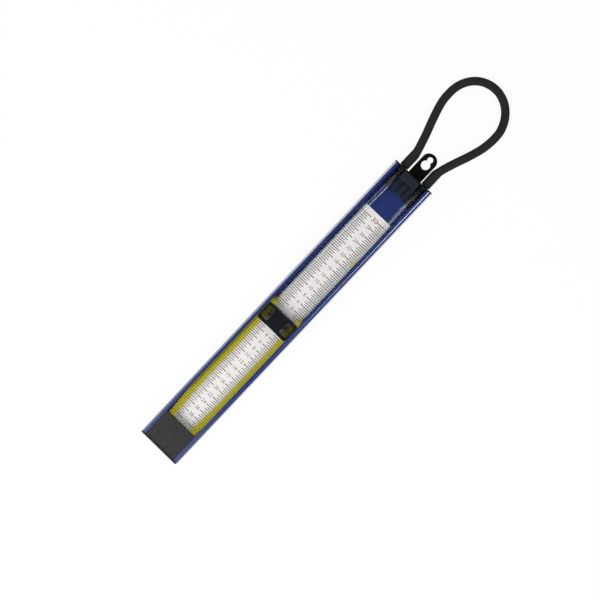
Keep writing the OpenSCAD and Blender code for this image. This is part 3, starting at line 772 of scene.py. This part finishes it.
# fittings inside and behind: nylon, rivets, screws and the liquid in the foot
portSet = {
    "stub": 7.2, "stubLen": 17.0, "stubTeeth": 3, "stubRise": 0.3, "proud": 0.3, "plate": 1.5,
    "collar": 9.2, "collarLen": 1.5, "spigot": 5.54, "spigotLen": 28.0, "spigotTeeth": 4, "spigotRise": 0.12,
    "bore": 3.2, "sides": 48, "sharp": 40,
    "dark": (0.010, 0.0105, 0.0125, 1), "pale": (0.022, 0.0225, 0.026, 1), "rings": (1400, 2),
    "ringStretch": (0.02, 1, 0.02), "cloud": (320, 3), "tone": (0.5, 0.4), "rough": 0.32, "roughBy": 0.15,
    "depth": (0.00005, 0.5), "gloss": 0.5}
zincSet = {
    "dark": (0.52, 0.53, 0.55, 1), "pale": (0.66, 0.66, 0.66, 1), "brush": (2600, 3),
    "brushStretch": (1, 0.05, 1), "stain": (420, 4, 0.6), "tone": (0.6, 0.3), "rough": 0.28,
    "roughBy": (0.14, 0.1), "depth": (0.00002, 0.5), "gloss": 0.5}
dyeSet = {
    "dark": (0.40, 0.345, 0.012, 1), "pale": (0.47, 0.415, 0.03, 1), "cloud": (300, 2), "rough": 0.2,
    "roughBy": 0.1, "depth": (0.00003, 0.3), "gloss": 0.4}


def nylon(w):  # black nylon with faint turning rings along its length
    s = portSet
    rings = speckle(w, spotOn(w, s["ringStretch"]), *s["rings"])
    cloud = speckle(w, spotOn(w), *s["cloud"])
    return plastic(w, tinted(w, mixed(s["tone"], rings, cloud), s["dark"], s["pale"]),
                   s["rough"] + s["roughBy"] * cloud, raised(w, rings, *s["depth"]), s["gloss"])


def zincPlate(w):  # plated steel, finely brushed and lightly stained
    s = zincSet
    brush = speckle(w, spotOn(w, s["brushStretch"]), *s["brush"])
    stain = speckle(w, spotOn(w), *s["stain"])
    return plastic(w, tinted(w, mixed(s["tone"], stain, brush), s["dark"], s["pale"]),
                   s["rough"] + mixed(s["roughBy"], brush, stain), raised(w, brush, *s["depth"]), s["gloss"],
                   Metallic=1.0)


def footWater(w):
    s = dyeSet
    cloud = speckle(w, spotOn(w), *s["cloud"])
    return plastic(w, tinted(w, cloud, s["dark"], s["pale"]), s["rough"] + s["roughBy"] * cloud,
                   raised(w, cloud, *s["depth"]), s["gloss"])


def teeth(root, crest, start, length, count):  # outline of a barbed bar, root to tip
    pitch, line = length / (count + 1), [(root, start)]
    for i in range(1, count + 1):
        line += [(root, start + i * pitch), (crest, start + i * pitch), (root, start + (i + 1) * pitch)]
    return line


def portMesh(name, x):  # a turned fitting: spigot below its collar, stub above, one bore through
    s = portSet
    head, root = caseHigh.y / mm, s["plate"] + s["proud"]
    spigot, stub, collar, bore = (s[size] / 2 for size in ("spigot", "stub", "collar", "bore"))
    down = teeth(spigot - s["spigotRise"], spigot, s["collarLen"], s["spigotLen"], s["spigotTeeth"])
    up = teeth(stub - s["stubRise"], stub, root, s["stubLen"] - s["proud"], s["stubTeeth"])
    line = [(a, head - b) for a, b in reversed(down)]
    line += [(collar, head - s["collarLen"]), (collar, head), (stub, head), (stub, head + root)]
    line += [(a, head + b) for a, b in up]
    line += [(bore, line[-1][1]), (bore, line[0][1])]
    shell = bmesh.new()
    rings = [ring(shell, Vector((x, b, tubeSet["z"])) * mm, a * mm, xAxis, zAxis, s["sides"])
             for a, b in line]
    bridged(shell, rings + rings[:1])
    mesh = finished(shell, name)
    mesh.set_sharp_from_angle(angle=math.radians(s["sharp"]))
    return mesh


blackNylon, brightZinc = painted("blackNylon", nylon), painted("brightZinc", zincPlate)
for side, label in ((-1, "left"), (1, "right")):
    port = linked(label + "Port", portMesh(label + "Port", side * tubeSet["endX"]))
    dress(port, blackNylon)
    settled(port, "gauge_body", "port_nylon", label + "_port")
dress(nodes["u_manifold"], blackNylon)
for label in ("manifold_plug", "cursor_rivets", "top_cap_screws", "bottom_cap_screws"):
    dress(nodes[label], brightZinc)
dress(nodes["bend_liquid"], painted("footWater", footWater))
print("fittings dressed")


# floor, world and lamps: a white sweep, soft lamps from above, and lamps that only gloss shows
studioSet = {
    "floorZ": -0.0004, "floorSize": 8.0, "floorDark": (0.9, 0.9, 0.9, 1), "floorPale": (0.92, 0.92, 0.92, 1),
    "floorGrain": (30, 2), "white": (1, 1, 1, 1), "glow": 0.9, "world": 0.64, "lean": 0.3,
    "zenith": 0.05, "horizon": 0.4, "overhead": (0.7, 0.95),
    "lamps": {  # place, aim, size, radiance, what it shows in, and the pieces it falls on
        "overHead": ((0.25, -0.6, 2.0), (0.1, 0, 0), (2.4, 2.4), 1.05, "body", "rest"),
        "overFoot": ((0.1, -0.88, 1.0), (0.1, -0.88, 0), (1.6, 1.04), 1.2, "all", "rest"),
        "stripHead": ((-1.05, 0.21, 0.745), (0, 0.21, 0), (0.3, 1.74), 21.0, "gloss", "case"),
        "stripMiddle": ((-1.05, -0.05, 0.745), (0, -0.05, 0), (0.22, 1.74), 7.0, "gloss", "case"),
        "stripFoot": ((-1.05, -0.38, 0.745), (0, -0.38, 0), (0.44, 1.74), 0.8, "gloss", "case"),
        "tubesFromLeft": ((-0.72, 0.15, 1.06), (0, 0.15, 0), (0.4, 0.4), 7.0, "gloss", "bothTubes"),
        "tubeFromRight": ((1.13, 0.15, 0.55), (0, 0.15, 0), (0.4, 0.4), 13.0, "gloss", "leftTube"),
        "tubeFromAbove": ((-0.25, 0.15, 1.6), (-0.25, 0.15, 0), (1.06, 0.4), 3.6, "gloss", "rightTube")},
    "plain": (1, 1, 1), "cool": (0.82, 0.92, 1.0)}


def whiteFloor(w):  # white to the eye and to gloss, and still shaded a little under the object
    s, rays = studioSet, w.node("ShaderNodeLightPath")
    seen = rays.also("Is Camera Ray")
    for label in ("Is Glossy Ray", "Is Transmission Ray"):
        seen = w.maths("MAXIMUM", seen, rays.also(label))
    grain = speckle(w, spotOn(w), *s["floorGrain"])
    sheet = w.node("ShaderNodeBsdfDiffuse", {}, {"Color": tinted(w, grain, s["floorDark"], s["floorPale"])})
    glow = w.node("ShaderNodeEmission", {}, {"Color": s["white"], "Strength": 1.0})
    return w.node("ShaderNodeMixShader", {}, {0: seen * s["glow"], 1: sheet, 2: glow})


floorMesh = bpy.data.meshes.new("floor")
half, floorZ = studioSet["floorSize"] / 2, studioSet["floorZ"]
corners = [(-half, -half, floorZ), (half, -half, floorZ), (half, half, floorZ), (-half, half, floorZ)]
floorMesh.from_pydata(corners, [], [(0, 1, 2, 3)])
floor = linked("floor", floorMesh)
dress(floor, painted("whiteFloor", whiteFloor))

world = bpy.data.worlds.new("studio")
scene.world = world
world.use_nodes = True
world.node_tree.nodes.clear()
world.cycles.sampling_method = "NONE"  # an even sky needs no search for its bright parts
w = Wire(world.node_tree)
heading = w.node("ShaderNodeSeparateXYZ", {}, {0: w.node("ShaderNodeTexCoord", out="Generated")})
rays = w.node("ShaderNodeLightPath")
mirrored = studioSet["horizon"] + between(w, heading.also(2), *studioSet["overhead"]) * (
    studioSet["zenith"] - studioSet["horizon"])
plainLight = studioSet["world"] * (1 + studioSet["lean"] * heading.also(0))  # more of it from the right
strength = plainLight + rays.also("Is Glossy Ray") * (mirrored - plainLight) + rays.also("Is Camera Ray") * (
    1 - plainLight)
w.node("ShaderNodeOutputWorld", {}, {"Surface": w.node("ShaderNodeBackground", {}, {
    "Color": studioSet["white"], "Strength": strength})})

lit = {"case": [caseShell], "bothTubes": tubes, "leftTube": tubes[:1], "rightTube": tubes[1:],
       "rest": [piece for piece in scene.objects if piece.type == "MESH" and piece not in tubes]}
for name, (place, aim, size, radiance, shows, onto) in studioSet["lamps"].items():
    lamp = bpy.data.lights.new(name, "AREA")
    lamp.shape, lamp.size, lamp.size_y = "RECTANGLE", size[0], size[1]
    lamp.energy = radiance * math.pi * size[0] * size[1]
    lamp.color = studioSet["plain" if onto == "rest" else "cool"]
    holder = linked(name, lamp)
    holder.location = place
    holder.rotation_euler = (Vector(aim) - Vector(place)).to_track_quat("-Z", "Y").to_euler()
    holder.visible_camera = False
    holder.visible_diffuse = holder.visible_transmission = shows != "gloss"
    holder.visible_glossy = shows != "body"
    group = bpy.data.collections.new(name)
    for piece in lit[onto]:
        group.objects.link(piece)
    holder.light_linking.receiver_collection = group
print("studio lit")
